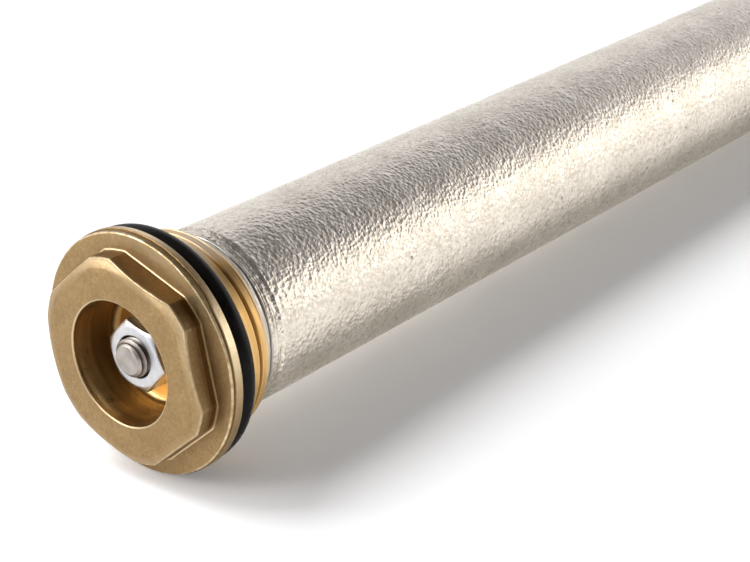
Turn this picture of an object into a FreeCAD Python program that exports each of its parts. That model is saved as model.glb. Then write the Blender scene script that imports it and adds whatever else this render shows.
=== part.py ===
import FreeCAD, Part
import os

import Sketcher

# Water heater anode rod: a cast magnesium bar on a steel core, hung from a brass screw-in plug.
# Millimetres. The rod's axis is X and the bar points to +X. The origin is on that axis where the
# plug's full thread starts, just behind the sealing ring. Z is up as the rod lies on its side.

# Sides of the sealing ring's nearly round section
RING_SIDES = 16

# Driving dimensions: cell name, value, what it is
SIZES = [
    ("thread_radius", 20.955, "outside of the G 1 1/4 pipe thread"),
    ("thread_length", 5.0, "stretch of full thread"),
    ("lead_length", 2.0, "lead-in cone at the thread's end"),
    ("lead_drop", 1.45, "how far the lead-in cone comes in"),
    ("relief_radius", 19.45, "floor of the relief that the sealing ring lies in"),
    ("relief_flank", 0.8, "length of the relief's sloping flank"),
    ("flange_radius", 24.9, "turned land of the flange"),
    ("flange_thickness", 2.8, "front of the flange to its seating face"),
    ("forged_step", 0.25, "how far the forged rim lies inside the turned land"),
    ("forged_width", 0.6, "width of the forged rim"),
    ("forged_bevel", 0.45, "bevel at the flange's front edge"),
    ("head_flats", 39.0, "spanner size of the head"),
    ("head_height", 5.0, "head above the flange"),
    ("head_corner_radius", 21.05, "turned radius that takes off the head's corners"),
    ("head_turn", 12.4, "angle of one head corner from straight up, towards +Y"),
    ("face_radius", 19.0, "where the turned bevel of the head's corners starts"),
    ("corner_drop", 0.95, "how far that bevel has fallen at the corner radius"),
    ("recess_radius", 12.7, "recess for the nut and its spanner"),
    ("recess_depth", 10.6, "head's face to the recess floor"),
    ("recess_bevel", 0.3, "bevel at the recess's mouth"),
    ("recess_draft", 0.6, "how far the recess narrows down to its floor"),
    ("recess_fillet", 1.5, "rounding between the recess's wall and floor"),
    ("stud_radius", 4.0, "outside of the M8 stud and of the core behind it"),
    ("stud_hole_gap", 0.25, "room round the stud in the plug's floor"),
    ("stud_proud", 2.0, "stud's end beyond the nut's face"),
    ("stud_bevel", 1.1, "bevel at the stud's end"),
    ("nut_flats", 13.0, "spanner size of the M8 nut"),
    ("nut_height", 6.5, "height of the nut"),
    ("nut_face_radius", 6.1, "round face inside the bevel of the nut's corners"),
    ("nut_bevel_rise", 0.75, "height of that bevel at the corners"),
    ("nut_mouth_radius", 4.35, "mouth of the nut's countersinks"),
    ("nut_thread_gap", 0.04, "room between the nut's bore and the stud"),
    ("nut_turn", 19.0, "angle of one nut corner from straight up, towards +Y"),
    ("ring_section", 5.0, "thickness of the sealing ring"),
    ("ring_gap", 0.05, "room between the sealing ring and its seats"),
    ("bar_radius", 19.0, "outside of the magnesium bar"),
    ("bar_length", 400.0, "length of the magnesium bar"),
    ("band_radius", 18.6, "turned band at the bar's plug end"),
    ("band_length", 4.6, "length of that band"),
    ("band_bevel", 0.4, "bevel between the band and the cast surface"),
    ("sawn_bevel", 1.0, "bevel round the bar's sawn end"),
    ("core_gap", 0.02, "room between the cast bar and its core"),
    ("cut_overrun", 1.0, "how far outside the metal a cut starts"),
]

# Dimensions that follow from them: cell name, formula, what it is
DERIVED = [
    ("relief_end_x", "-relief_flank", "where the relief's floor ends"),
    ("seat_x", "relief_end_x - ring_section - 2 * ring_gap", "seating face of the flange"),
    ("flange_front_x", "seat_x - flange_thickness", "front face of the flange"),
    ("face_x", "flange_front_x - head_height", "head's face"),
    ("floor_x", "face_x + recess_depth", "recess floor, which the nut bears on"),
    ("plug_end_x", "thread_length + lead_length", "plug's inner end, which the bar butts against"),
    ("nut_face_x", "floor_x - nut_height", "outer face of the nut"),
    ("stud_tip_x", "nut_face_x - stud_proud", "tip of the stud"),
    ("bar_end_x", "plug_end_x + bar_length", "sawn end of the bar and its core"),
    ("ring_x", "seat_x + ring_gap + ring_section / 2", "centre of the sealing ring's section"),
    ("ring_radius", "relief_radius + ring_gap + ring_section / 2", "radius to that centre"),
    ("stud_hole_radius", "stud_radius + stud_hole_gap", "hole through the plug's floor"),
    ("nut_bore_radius", "stud_radius + nut_thread_gap", "bore of the nut"),
    ("nut_corner_radius", "nut_flats / 2 / cos( 30 deg )", "corners of the nut"),
    ("nut_bevel_slope", "( nut_corner_radius - nut_face_radius ) / nut_bevel_rise", "rise of its bevel"),
    ("nut_cut_depth", "nut_height / 3", "how deep the cut of that bevel reaches outside the nut"),
    ("core_bore_radius", "stud_radius + core_gap", "bore of the bar"),
]


def make_sheet(doc):
    """Write the driving dimensions and what follows from them into a spreadsheet."""
    sheet = doc.addObject("Spreadsheet::Sheet", "sizes")
    rows = [(name, str(value), meaning) for name, value, meaning in SIZES]
    rows += [(name, "=" + formula, meaning) for name, formula, meaning in DERIVED]
    for row, (name, content, meaning) in enumerate(rows, start=1):
        sheet.set(f"A{row}", name)
        sheet.set(f"B{row}", content)
        sheet.set(f"C{row}", meaning)
        sheet.setAlias(f"B{row}", name)
    doc.recompute()
    return sheet


def bound(formula):
    """The formula with every cell name pointed at the sheet."""
    names = {name for name, _, _ in SIZES} | {name for name, _, _ in DERIVED}
    words = formula.replace("(", "( ").replace(")", " )").split()
    return " ".join(f"sizes.{word}" if word in names else word for word in words)


def origin_feature(body, role):
    """One of the body's own origin planes or axes."""
    return next(f for f in body.Origin.OriginFeatures if f.Role == role)


def new_sketch(body, name, role, offset=None):
    """A sketch on one of the body's origin planes, moved along its normal by a formula."""
    sketch = body.newObject("Sketcher::SketchObject", name)
    sketch.AttachmentSupport = [(origin_feature(body, role), "")]
    sketch.MapMode = "FlatFace"
    if offset:
        sketch.setExpression("AttachmentOffset.Base.z", bound(offset))
    return sketch


def draw_outline(sketch, corners):
    """Close a loop of straight lines through corners given as pairs of formulas."""
    doc = sketch.Document
    probe = doc.getObject("sizes")
    values = [(probe.evalExpression(bound(a)), probe.evalExpression(bound(b))) for a, b in corners]
    points = [FreeCAD.Vector(float(a), float(b), 0) for a, b in values]
    count = len(points)
    for k in range(count):
        sketch.addGeometry(Part.LineSegment(points[k], points[(k + 1) % count]), False)
    for k in range(count):
        sketch.addConstraint(Sketcher.Constraint("Coincident", k, 2, (k + 1) % count, 1))
    for k, (a, b) in enumerate(corners):
        for kind, axis, text, value in (("DistanceX", -2, a, points[k].x), ("DistanceY", -1, b, points[k].y)):
            if text == "0":
                sketch.addConstraint(Sketcher.Constraint("PointOnObject", k, 1, axis))
            else:
                index = sketch.addConstraint(Sketcher.Constraint(kind, -1, 1, k, 1, value))
                sketch.setExpression(f"Constraints[{index}]", bound(text))


def draw_circle(sketch, radius):
    """A circle about the sketch's origin with its radius bound to a formula."""
    probe = sketch.Document.getObject("sizes")
    value = float(probe.evalExpression(bound(radius)))
    sketch.addGeometry(Part.Circle(FreeCAD.Vector(0, 0, 0), FreeCAD.Vector(0, 0, 1), value), False)
    sketch.addConstraint(Sketcher.Constraint("Coincident", 0, 3, -1, 1))
    index = sketch.addConstraint(Sketcher.Constraint("Radius", 0, value))
    sketch.setExpression(f"Constraints[{index}]", bound(radius))


def hexagon(flats, turn):
    """The six corners, as formulas, of a hexagon with one corner turned from straight up."""
    reach = f"{flats} / 2 / cos( 30 deg )"
    return [(f"{reach} * sin( ( {turn} + {60 * k} ) * 1 deg )",
             f"{reach} * cos( ( {turn} + {60 * k} ) * 1 deg )") for k in range(6)]


def turn_profile(body, kind, name, corners):
    """Revolve an outline, given as stations and radii, about the rod's axis."""
    sketch = new_sketch(body, f"{name}_outline", "XY_Plane")
    draw_outline(sketch, corners)
    feature = body.newObject(kind, name)
    feature.Profile = sketch
    feature.ReferenceAxis = (sketch, ["H_Axis"])
    feature.Angle = 360
    body.Document.recompute()
    return feature


def pad_hexagon(body, name, flats, turn, start, length):
    """A hexagonal prism along the rod's axis."""
    sketch = new_sketch(body, f"{name}_outline", "YZ_Plane", start)
    draw_outline(sketch, hexagon(flats, turn))
    pad = body.newObject("PartDesign::Pad", name)
    pad.Profile = sketch
    pad.setExpression("Length", bound(length))
    body.Document.recompute()
    return pad


def make_plug(doc):
    """Brass plug: forged hexagon head and flange, relief for the ring, thread, nut recess."""
    body = doc.addObject("PartDesign::Body", "plug")
    turn_profile(body, "PartDesign::Revolution", "turned_plug", [
        ("flange_front_x", "0"),
        ("flange_front_x", "flange_radius - forged_step - forged_bevel"),
        ("flange_front_x + forged_bevel", "flange_radius - forged_step"),
        ("flange_front_x + forged_width", "flange_radius - forged_step"),
        ("flange_front_x + forged_width", "flange_radius"),
        ("seat_x", "flange_radius"),
        ("seat_x", "relief_radius"),
        ("relief_end_x", "relief_radius"),
        ("0", "thread_radius"),
        ("thread_length", "thread_radius"),
        ("plug_end_x", "thread_radius - lead_drop"),
        ("plug_end_x", "0"),
    ])
    pad_hexagon(body, "head", "head_flats", "head_turn", "face_x", "head_height + flange_thickness / 2")
    turn_profile(body, "PartDesign::Groove", "turned_head", [
        ("face_x - cut_overrun", "face_radius"),
        ("face_x", "face_radius"),
        ("face_x + corner_drop", "head_corner_radius"),
        ("flange_front_x", "head_corner_radius"),
        ("flange_front_x", "head_flats"),
        ("face_x - cut_overrun", "head_flats"),
    ])
    turn_profile(body, "PartDesign::Groove", "nut_recess", [
        ("face_x - cut_overrun", "0"),
        ("face_x - cut_overrun", "recess_radius + recess_bevel"),
        ("face_x", "recess_radius + recess_bevel"),
        ("face_x + recess_bevel", "recess_radius"),
        ("floor_x", "recess_radius - recess_draft"),
        ("floor_x", "0"),
    ])
    round_recess_floor(body)
    hole_sketch = new_sketch(body, "stud_hole_outline", "YZ_Plane", "face_x")
    draw_circle(hole_sketch, "stud_hole_radius")
    hole = body.newObject("PartDesign::Pocket", "stud_hole")
    hole.Profile = hole_sketch
    hole.Type = "ThroughAll"
    hole.Midplane = True
    doc.recompute()
    return body


def round_recess_floor(body):
    """Fillet the circle where the recess's wall meets its floor."""
    sheet = body.Document.getObject("sizes")
    base = body.Tip
    radius = sheet.recess_radius - sheet.recess_draft
    for k, edge in enumerate(base.Shape.Edges, start=1):
        circle = isinstance(edge.Curve, Part.Circle)
        if circle and abs(edge.Curve.Radius - radius) < 0.001 and abs(edge.Curve.Center.x - sheet.floor_x) < 0.001:
            fillet = body.newObject("PartDesign::Fillet", "recess_floor_fillet")
            fillet.Base = (base, [f"Edge{k}"])
            fillet.setExpression("Radius", bound("recess_fillet"))
    body.Document.recompute()


def make_sealing_ring(doc):
    """Rubber O-ring that lies in the relief, against the flange's seating face."""
    body = doc.addObject("PartDesign::Body", "sealing_ring")
    turns = [f"( {k} / {RING_SIDES} * 360 deg )" for k in range(RING_SIDES)]
    turn_profile(body, "PartDesign::Revolution", "moulded_ring", [
        (f"ring_x + ring_section / 2 * cos{turn}", f"ring_radius + ring_section / 2 * sin{turn}") for turn in turns
    ])
    return body


def make_anode_rod(doc):
    """Cast magnesium bar with a turned band at the plug and a sawn far end."""
    body = doc.addObject("PartDesign::Body", "anode_rod")
    turn_profile(body, "PartDesign::Revolution", "cast_bar", [
        ("plug_end_x", "core_bore_radius"),
        ("plug_end_x", "band_radius"),
        ("plug_end_x + band_length", "band_radius"),
        ("plug_end_x + band_length + band_bevel", "bar_radius"),
        ("bar_end_x - sawn_bevel", "bar_radius"),
        ("bar_end_x", "bar_radius - sawn_bevel"),
        ("bar_end_x", "core_bore_radius"),
    ])
    return body


def make_core_stud(doc):
    """Steel core of the bar, whose plug end is an M8 stud."""
    body = doc.addObject("PartDesign::Body", "core_stud")
    turn_profile(body, "PartDesign::Revolution", "steel_core", [
        ("stud_tip_x", "0"),
        ("stud_tip_x", "stud_radius - stud_bevel"),
        ("stud_tip_x + stud_bevel", "stud_radius"),
        ("bar_end_x", "stud_radius"),
        ("bar_end_x", "0"),
    ])
    return body


def make_hex_nut(doc):
    """M8 nut: a hexagon with its corners bevelled and its bore countersunk at both faces."""
    body = doc.addObject("PartDesign::Body", "hex_nut")
    pad_hexagon(body, "nut_blank", "nut_flats", "nut_turn", "nut_face_x", "nut_height")
    cut_radius = "nut_face_radius + nut_bevel_slope * nut_cut_depth"
    for name, face, sign in (("outer_bevel", "nut_face_x", "+"), ("inner_bevel", "floor_x", "-")):
        turn_profile(body, "PartDesign::Groove", name, [
            (face, "nut_face_radius"),
            (f"{face} {sign} nut_cut_depth", cut_radius),
            (face, cut_radius),
        ])
    turn_profile(body, "PartDesign::Groove", "nut_bore", [
        ("nut_face_x", "0"),
        ("nut_face_x", "nut_mouth_radius"),
        ("nut_face_x + nut_mouth_radius - nut_bore_radius", "nut_bore_radius"),
        ("floor_x - nut_mouth_radius + nut_bore_radius", "nut_bore_radius"),
        ("floor_x", "nut_mouth_radius"),
        ("floor_x", "0"),
    ])
    return body


def check(doc, pieces):
    """Stop if any object failed to build or any piece isn't one sound solid."""
    doc.recompute()
    for item in doc.Objects:
        if "Invalid" in item.State or "Error" in item.State:
            raise RuntimeError(f"{item.Name} failed to build: {item.State}")
    for piece in pieces:
        shape = piece.Shape
        if shape.isNull() or not shape.isValid() or len(shape.Solids) != 1:
            raise RuntimeError(f"{piece.Label} isn't one sound solid")


def main():
    """Build every piece and write each one to its own file."""
    doc = FreeCAD.newDocument("water_heater_anode_rod")
    make_sheet(doc)
    pieces = [make_plug(doc), make_sealing_ring(doc), make_anode_rod(doc), make_core_stud(doc), make_hex_nut(doc)]
    for piece in pieces:
        piece.Label = piece.Name
    check(doc, pieces)
    os.makedirs("parts", exist_ok=True)
    for piece in pieces:
        piece.Shape.exportStep(f"parts/{piece.Label}.step")
        print(f"{piece.Label}: {piece.Shape.Volume:.1f} mm3, {piece.Shape.BoundBox}")


main()
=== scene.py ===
"""Water heater anode rod: the finished surfaces of its five pieces, the light and the camera."""

from __future__ import annotations

import logging
import math
from dataclasses import dataclass
from enum import Enum

import bpy
import numpy as np
from mathutils import Matrix, Vector, noise

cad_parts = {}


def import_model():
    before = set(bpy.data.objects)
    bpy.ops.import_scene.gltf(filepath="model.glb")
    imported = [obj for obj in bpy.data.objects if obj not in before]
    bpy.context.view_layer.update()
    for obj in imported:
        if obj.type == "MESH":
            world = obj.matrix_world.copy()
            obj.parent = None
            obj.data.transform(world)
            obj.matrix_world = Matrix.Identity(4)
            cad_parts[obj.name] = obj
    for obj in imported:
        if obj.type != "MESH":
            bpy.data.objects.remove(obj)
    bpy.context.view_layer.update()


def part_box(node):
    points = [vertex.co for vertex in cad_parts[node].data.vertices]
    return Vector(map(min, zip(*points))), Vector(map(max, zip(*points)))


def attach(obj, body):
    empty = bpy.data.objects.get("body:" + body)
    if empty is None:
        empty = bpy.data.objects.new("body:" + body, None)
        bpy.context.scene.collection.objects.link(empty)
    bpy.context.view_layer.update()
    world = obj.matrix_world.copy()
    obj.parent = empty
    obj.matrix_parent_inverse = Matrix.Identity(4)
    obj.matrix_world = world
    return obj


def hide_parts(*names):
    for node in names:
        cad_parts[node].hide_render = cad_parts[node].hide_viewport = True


MM = 0.001
TAU = 2.0 * math.pi
ROOT_BODY = "root"

Triple = tuple[float, float, float]
Socket = bpy.types.NodeSocket
Spread = float | np.ndarray

log = logging.getLogger("anode_rod")


class Coat(Enum):
    """Which finish a strip of a turned surface wears."""

    MAIN = 0
    SECOND = 1
    THIRD = 2


@dataclass(frozen=True)
class Ring:
    """One closed ring of points about the rod's axis.

    It has each point's station and radius, the finish of the strip that ends at the ring, and each point's
    wear and
    painted light: from 0 to 1 for wear and painted highlight, below 0 for dark grooves and painted shade.
    """

    x: np.ndarray
    r: np.ndarray
    coat: Coat
    wear_and_shading: np.ndarray


class TurnedSurface:
    """A surface built ring by ring about the rod's axis."""

    def __init__(self, angles: np.ndarray) -> None:
        """Start an empty surface.

        Args:
            angles: The angle of each column of points, from straight up towards +Y.
        """
        self.angles = angles
        self.rings: list[Ring] = []
        self.coat = Coat.MAIN

    def spread(self, value: Spread) -> np.ndarray:
        """One value for every column."""
        return np.broadcast_to(np.asarray(value, dtype=float), self.angles.shape).copy()

    def ring(self, x: Spread, r: Spread, wear_and_shading: Spread = 0.0) -> None:
        """Add one ring.

        Args:
            x: Station, the same all round or one for each column.
            r: Radius, the same all round or one for each column.
            wear_and_shading: Wear and painted highlight from 0 to 1, or below 0 for dark grooves and
                painted shade.
        """
        self.rings.append(Ring(self.spread(x), self.spread(r), self.coat, self.spread(wear_and_shading)))

    def run(self, x: Spread, r: Spread, steps: int, hold: float = 0.0,
            wear_and_shading: Spread = 0.0) -> None:
        """Add straight rings from the last ring to a new one.

        Args:
            x: Station of the run's end.
            r: Radius of the run's end.
            steps: How many rings to add.
            hold: Distance from each end at which an extra ring keeps the run flat, or 0 for none.
            wear_and_shading: Wear and painted light of the run.
        """
        last = self.rings[-1]
        end_x, end_r = self.spread(x), self.spread(r)
        shares = list(np.linspace(0.0, 1.0, steps + 1)[1:])
        length = float(np.mean(np.hypot(end_x - last.x, end_r - last.r)))
        if hold > 0.0 and length > 3.0 * hold:
            near = hold / length
            inner = [share for share in shares if near * 1.5 < share < 1.0 - near * 1.5]
            shares = [near] + inner + [1.0 - near, 1.0]
        for share in shares:
            self.ring(last.x + (end_x - last.x) * share, last.r + (end_r - last.r) * share, wear_and_shading)

    def bend(self, centre_x: Spread, centre_r: Spread, radius: Spread, start: float, end: float,
             steps: int, wear_and_shading: Spread = 0.0) -> None:
        """Add an arc of rings.

        Args:
            centre_x: Station of the arc's centre.
            centre_r: Radius of the arc's centre.
            radius: The arc's own radius.
            start: First angle in degrees, 0 along +X and 90 straight out from the axis.
            end: Last angle in degrees.
            steps: How many rings to add.
            wear_and_shading: Wear and painted light at the arc's middle.
        """
        for k in range(1, steps + 1):
            share = k / steps
            turn = math.radians(start + (end - start) * share)
            rub_and_shading = wear_and_shading * math.sin(math.pi * share)
            self.ring(centre_x + radius * math.cos(turn), centre_r + radius * math.sin(turn), rub_and_shading)

    def points(self) -> np.ndarray:
        """Every point of the surface, ring after ring."""
        x = np.array([ring.x for ring in self.rings])
        r = np.array([ring.r for ring in self.rings])
        y = r * np.sin(self.angles)[None, :]
        z = r * np.cos(self.angles)[None, :]
        return np.stack([x, y, z], axis=-1)

    def build(self, name: str, closed: bool, shift: np.ndarray | None = None) -> bpy.types.Object:
        """Make the mesh object.

        Args:
            name: Name of the object.
            closed: Whether the last ring joins the first; if not, both ends are closed by a fan.
            shift: An extra move of every point, or None.

        Returns:
            The new object, smooth shaded, with a "wear_and_shading" value of wear and painted light on
            every point.
        """
        places = self.points()
        if shift is not None:
            places = places + shift
        rows, columns = places.shape[:2]
        vertices = places.reshape(-1, 3)
        row = np.arange(rows if closed else rows - 1)[:, None]
        column = np.arange(columns)[None, :]
        after_row = (row + 1) % rows
        after_column = (column + 1) % columns
        quads = np.stack([row * columns + column, row * columns + after_column,
                          after_row * columns + after_column, after_row * columns + column], axis=-1)
        quads = quads.reshape(-1, 4)
        coats = np.array([ring.coat.value for ring in self.rings])
        coat_of_quad = np.broadcast_to(coats[after_row], (row.shape[0], columns)).reshape(-1)
        faces = quads.tolist()
        face_coats = coat_of_quad.tolist()
        wear_and_shading = np.concatenate([ring.wear_and_shading for ring in self.rings])
        if not closed:
            vertices, wear_and_shading = self._fan_ends(vertices, wear_and_shading, rows, columns, faces, face_coats)
        mesh = bpy.data.meshes.new(name)
        mesh.from_pydata(vertices.tolist(), [], faces)
        if signed_volume(vertices, faces) < 0.0:
            mesh.flip_normals()
        mesh.polygons.foreach_set("use_smooth", [True] * len(mesh.polygons))
        mesh.polygons.foreach_set("material_index", face_coats)
        mark = mesh.attributes.new("wear_and_shading", "FLOAT", "POINT")
        mark.data.foreach_set("value", wear_and_shading.astype(np.float32))
        mesh.validate()
        piece = bpy.data.objects.new(name, mesh)
        bpy.context.scene.collection.objects.link(piece)
        return piece

    def _fan_ends(self, vertices: np.ndarray, wear_and_shading: np.ndarray, rows: int, columns: int,
                  faces: list, face_coats: list) -> tuple[np.ndarray, np.ndarray]:
        """Close both ends with a fan about a middle point, and return the longer point lists."""
        for first, reverse in ((0, True), ((rows - 1) * columns, False)):
            middle = len(vertices)
            rim = vertices[first:first + columns]
            vertices = np.vstack([vertices, rim.mean(axis=0)])
            wear_and_shading = np.append(wear_and_shading, 0.0)
            for k in range(columns):
                a, b = first + k, first + (k + 1) % columns
                faces.append([middle, b, a] if reverse else [middle, a, b])
                face_coats.append(self.rings[0 if reverse else -1].coat.value)
        return vertices, wear_and_shading


def signed_volume(vertices: np.ndarray, faces: list) -> float:
    """The volume that the faces enclose, below zero if they face inwards."""
    total = 0.0
    for size in (3, 4):
        group = np.array([face for face in faces if len(face) == size])
        for k in range(1, size - 1) if len(group) else ():
            a, b, c = vertices[group[:, 0]], vertices[group[:, k]], vertices[group[:, k + 1]]
            total += float(np.einsum("ij,ij->i", a, np.cross(b, c)).sum()) / 6.0
    return total


def even_angles(columns: int) -> np.ndarray:
    """Evenly spread column angles."""
    return np.linspace(0.0, TAU, columns, endpoint=False)


def wavy(angles: np.ndarray, waves: tuple[tuple, ...]) -> np.ndarray:
    """A sum of waves round the axis, each a height, a count and a start."""
    return sum(height * np.sin(count * angles + start) for height, count, start in waves)


def soft_min(a: np.ndarray, b: np.ndarray, blend: float) -> np.ndarray:
    """The smaller of two values, rounded where they cross."""
    near = np.clip(0.5 + 0.5 * (b - a) / blend, 0.0, 1.0)
    return b + (a - b) * near - blend * near * (1.0 - near)


def noise_field(places: np.ndarray, scale: float, seed: float) -> np.ndarray:
    """Smooth noise from -1 to 1 at each place.

    Args:
        places: Points in metres, in an array whose last axis is x, y, z.
        scale: How many lumps there are to a metre.
        seed: Shifts the pattern.

    Returns:
        One value for each point.
    """
    flat = places.reshape(-1, 3) * scale + seed
    values = [noise.noise(Vector(place)) for place in flat.tolist()]
    return np.array(values).reshape(places.shape[:-1])


@dataclass(frozen=True)
class Patch:
    """A soft patch of painted highlight or painted shade, as each use takes it: its middle and reach round
    the axis in degrees, and its strength.
    """

    middle: float
    reach: float
    strength: float = 1.0

    def at(self, angles: np.ndarray) -> np.ndarray:
        """How strong the patch is at each angle."""
        off = (np.degrees(angles) - self.middle + 180.0) % 360.0 - 180.0
        return self.strength * np.exp(-(off / self.reach) ** 2)


@dataclass(frozen=True)
class PipeThread:
    """A right-hand thread: its pitch, depth, crest width, flanks' half angle, rounding and start."""

    pitch: float
    depth: float
    crest: float
    half_angle: float
    rounding: float
    start: float

    def cut(self, x: np.ndarray, angles: np.ndarray) -> np.ndarray:
        """How far the thread lies below its crests.

        Args:
            x: Stations.
            angles: Angles from straight up towards +Y.

        Returns:
            The depth at each point, 0 on a crest.
        """
        turn = (x - self.start) / self.pitch + angles / TAU
        away = np.abs(turn - np.round(turn)) * self.pitch
        flank = (away - self.crest / 2.0) / math.tan(math.radians(self.half_angle))
        low = soft_min(flank, np.full_like(flank, self.depth), self.rounding)
        return -soft_min(-low, np.zeros_like(low), self.rounding)


class NodeTree:
    """A tree of shader nodes under construction."""

    def __init__(self, tree: bpy.types.NodeTree) -> None:
        """Keep the tree's nodes and links."""
        self.nodes = tree.nodes
        self.links = tree.links

    def add(self, kind: str, inputs: dict, **settings: str) -> bpy.types.Node:
        """Add a node.

        Args:
            kind: The node's type.
            inputs: A number, a colour or a socket to link, for each input by its name or place.
            settings: The node's own settings.

        Returns:
            The new node.
        """
        node = self.nodes.new(kind)
        for name, value in settings.items():
            setattr(node, name, value)
        for name, value in inputs.items():
            if isinstance(value, Socket):
                self.links.new(value, node.inputs[name])
            else:
                node.inputs[name].default_value = value
        return node

    def fit(self, value: Socket, low: float, high: float, to_low: float = 0.0,
            to_high: float = 1.0) -> Socket:
        """Rescale a value from one range to another, clamped."""
        ends = {"From Min": low, "From Max": high, "To Min": to_low, "To Max": to_high}
        return self.add("ShaderNodeMapRange", {"Value": value, **ends}).outputs["Result"]

    def sum(self, kind: str, first: Socket | float, second: Socket | float) -> Socket:
        """One step of arithmetic on two values."""
        return self.add("ShaderNodeMath", {0: first, 1: second}, operation=kind).outputs["Value"]

    def dot(self, first: Socket, second: Triple) -> Socket:
        """The dot product of a direction and a fixed one."""
        node = self.add("ShaderNodeVectorMath", {0: first, 1: second}, operation="DOT_PRODUCT")
        return node.outputs["Value"]


class NodeMaterial(NodeTree):
    """A node material under construction."""

    def __init__(self, name: str) -> None:
        """Start a material with one Principled shader and object coordinates."""
        self.material = bpy.data.materials.new(name)
        self.material.use_nodes = True
        super().__init__(self.material.node_tree)
        self.shader = self.nodes["Principled BSDF"]
        self.place = self.nodes.new("ShaderNodeTexCoord").outputs["Object"]

    def put(self, **values: float | tuple) -> None:
        """Set sockets of the shader, with underscores for spaces in their names."""
        for name, value in values.items():
            self.shader.inputs[name.replace("_", " ")].default_value = value

    def stretched(self, scale: Triple) -> Socket:
        """Object coordinates scaled by axis."""
        return self.add("ShaderNodeMapping", {"Vector": self.place, "Scale": scale}).outputs["Vector"]

    def noise(self, scale: float, detail: float = 2.0, roughness: float = 0.5,
              place: Socket | None = None) -> Socket:
        """A noise pattern's value.

        Args:
            scale: Lumps to a metre, or to a unit of the place given.
            detail: Octaves.
            roughness: Strength of the finer octaves.
            place: Where the pattern is read, or None for object coordinates.

        Returns:
            The socket with values about 0.5.
        """
        inputs = {"Vector": place or self.place, "Scale": scale, "Detail": detail, "Roughness": roughness}
        return self.add("ShaderNodeTexNoise", inputs).outputs["Fac"]

    def cells(self, scale: float, smooth: float = 0.0) -> Socket:
        """Distance to the nearest of many scattered points, or a smoothed distance."""
        inputs = {"Vector": self.place, "Scale": scale}
        if smooth == 0.0:
            return self.add("ShaderNodeTexVoronoi", inputs).outputs["Distance"]
        inputs["Smoothness"] = smooth
        return self.add("ShaderNodeTexVoronoi", inputs, feature="SMOOTH_F1").outputs["Distance"]

    def blend(self, share: Socket, low: Triple | Socket, high: Triple | Socket) -> Socket:
        """Mix two colours, which are the mix node's inputs 6 and 7 and its output 2."""
        ends = [(*end, 1.0) if isinstance(end, tuple) else end for end in (low, high)]
        return self.add("ShaderNodeMix", {0: share, 6: ends[0], 7: ends[1]}, data_type="RGBA").outputs[2]

    def wear_and_shading(self) -> Socket:
        """The surface's wear and its painted highlight and shade, as its points say."""
        return self.add("ShaderNodeAttribute", {}, attribute_name="wear_and_shading").outputs["Fac"]

    def colour(self, socket: Socket) -> None:
        """Drive the base colour."""
        self.links.new(socket, self.shader.inputs["Base Color"])

    def paint_groove_shade(self, skin: Triple | Socket, groove_and_shade: Triple) -> None:
        """Drive the base colour with a skin that turns to a dark colour in grooves and where shade is
        painted.
        """
        self.colour(self.blend(self.fit(self.wear_and_shading(), 0.0, -1.0), skin, groove_and_shade))

    def roughness(self, socket: Socket) -> None:
        """Drive the roughness."""
        self.links.new(socket, self.shader.inputs["Roughness"])

    def mottled(self, scale: float, low: float, high: float) -> Socket:
        """A softly uneven value between two ends."""
        return self.fit(self.noise(scale, 3.0), 0.3, 0.7, low, high)

    def relief(self, *heights: tuple[Socket, float]) -> None:
        """Stack bumps, each a height from 0 to 1 with its depth in metres."""
        normal = None
        for height, depth in heights:
            inputs = {"Strength": 1.0, "Distance": depth, "Height": height}
            if normal is not None:
                inputs["Normal"] = normal
            normal = self.add("ShaderNodeBump", inputs).outputs["Normal"]
        self.links.new(normal, self.shader.inputs["Normal"])


@dataclass(frozen=True)
class ForgedBrass:
    """Matt forged brass: sandy skin, dull patches, a pale colour for edge wear and painted highlights, and
    a dark one for grooves and painted shade.
    """

    skin: Triple = (0.405, 0.272, 0.127)
    dull: Triple = (0.33, 0.22, 0.10)
    speck: Triple = (0.22, 0.14, 0.06)
    # Pale colour for edge wear and for painted highlights.
    rub_and_highlight: Triple = (0.86, 0.70, 0.45)
    # Dark colour for the parting line and for painted shade on the flats and at the root.
    groove_and_shade: Triple = (0.13, 0.060, 0.014)
    grain: float = 3600.0
    grain_depth: float = 0.045 * MM

    def make(self) -> bpy.types.Material:
        """Build the node material."""
        mat = NodeMaterial("forged_brass")
        mat.put(Metallic=1.0)
        patches = mat.fit(mat.noise(160.0, 4.0, 0.6), 0.35, 0.68)
        grains = mat.fit(mat.noise(1150.0, 2.0, 0.6), 0.38, 0.64)
        sand = mat.fit(mat.noise(2600.0, 2.0, 0.6), 0.38, 0.64)
        skin = mat.blend(patches, self.skin, self.dull)
        skin = mat.blend(mat.sum("MULTIPLY", grains, 0.34), skin, self.speck)
        skin = mat.blend(mat.sum("MULTIPLY", sand, 0.40), skin, self.speck)
        # Edge wear and painted highlight turn the skin pale and smoother.
        rub_and_highlight = mat.fit(mat.wear_and_shading(), 0.0, 1.0)
        mat.paint_groove_shade(mat.blend(rub_and_highlight, skin, self.rub_and_highlight), self.groove_and_shade)
        rough = mat.mottled(700.0, 0.42, 0.54)
        mat.roughness(mat.sum("SUBTRACT", rough, mat.sum("MULTIPLY", rub_and_highlight, 0.20)))
        mat.relief((mat.noise(260.0, 3.0, 0.55), 0.10 * MM),
                   (mat.noise(self.grain, 3.0, 0.7), self.grain_depth))
        return mat.material


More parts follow.
